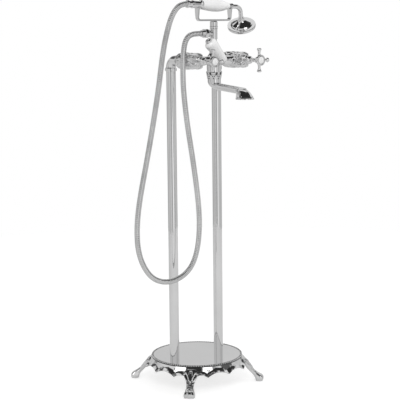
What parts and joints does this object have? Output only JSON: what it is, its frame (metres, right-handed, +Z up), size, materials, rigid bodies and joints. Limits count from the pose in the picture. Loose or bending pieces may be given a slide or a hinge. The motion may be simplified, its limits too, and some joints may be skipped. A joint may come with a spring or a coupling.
{
  "type": "freestanding bath tap",
  "caption": "Freestanding bath mixer on standpipes and a claw-foot base, with cross handles, a spout, a diverter lever and a hand shower lying in a cradle on a metal hose.",
  "frame": {"origin": "centre of the base, on the floor", "axes": "+Z up, -Y towards the front where the spout and handles face, +X to the right of someone in front of it"},
  "size_m": [0.405, 0.3675, 1.0132],
  "materials": {
    "chrome": "polished plate on brass",
    "porcelain": "opaque white glaze",
    "seal_rubber": "matt",
    "bare_brass": "machined",
    "steel": "machined",
    "dark_plastic": "moulded",
    "hose_metal": "wound metal strip"
  },
  "bodies": {
    "base": {"base_plate": "chrome", "beaded_rim": "chrome", "base_skirt": "chrome", "front_left_foot": "chrome", "front_right_foot": "chrome", "back_left_foot": "chrome", "back_right_foot": "chrome", "foot_screws": "steel", "foot_pads": "seal_rubber", "left_leg": "chrome", "right_leg": "chrome", "left_inlet_tail": "bare_brass", "right_inlet_tail": "bare_brass", "leg_lock_nuts": "bare_brass", "leg_lock_washers": "seal_rubber", "left_elbow_nut": "chrome", "right_elbow_nut": "chrome", "left_elbow": "chrome", "right_elbow": "chrome", "left_valve_housing": "chrome", "right_valve_housing": "chrome", "left_valve_cartridge": "bare_brass", "right_valve_cartridge": "bare_brass", "left_bonnet": "chrome", "right_bonnet": "chrome", "mixer_body": "chrome", "spout": "chrome", "spout_nut": "chrome", "flow_straightener": "dark_plastic", "diverter_bonnet": "chrome", "diverter_cartridge": "bare_brass", "riser": "chrome", "hose_outlet": "chrome", "outlet_hose_nut": "chrome", "outlet_washer": "seal_rubber", "cradle_post": "chrome", "cradle": "chrome", "cradle_screw": "steel", "hose": "hose_metal"},
    "left_handle": {"left_spindle": "bare_brass", "left_crosshead": "chrome", "left_handle_screw": "steel", "left_index_cap": "porcelain"},
    "right_handle": {"right_spindle": "bare_brass", "right_crosshead": "chrome", "right_handle_screw": "steel", "right_index_cap": "porcelain"},
    "lever": {"diverter_spindle": "bare_brass", "lever_hub": "chrome", "lever_grip": "porcelain", "lever_tip": "chrome"},
    "handset": {"handset_hose_nut": "chrome", "handset_washer": "seal_rubber", "handset_tube": "bare_brass", "rear_ferrule": "chrome", "handset_grip": "porcelain", "front_ferrule": "chrome", "handset_neck": "chrome", "rose": "chrome", "spray_plate": "chrome"}
  },
  "joints": [
    {"name": "left_valve_turn", "type": "hinge", "parent": "base", "child": "left_handle", "pos_m": [-0.075, -0.1735, 0.858], "axis": [0, -1, 0], "range_deg": [0, 90]},
    {"name": "right_valve_turn", "type": "hinge", "parent": "base", "child": "right_handle", "pos_m": [0.075, -0.1735, 0.858], "axis": [0, -1, 0], "range_deg": [0, 90]},
    {"name": "diverter_turn", "type": "hinge", "parent": "base", "child": "lever", "pos_m": [0, -0.125, 0.858], "axis": [0, 1, 0], "range_deg": [0, 90]},
    {"name": "handset_lift", "type": "slide", "parent": "base", "child": "handset", "axis": [0, 0, 1], "range_m": [0, 0.06]}
  ]
}
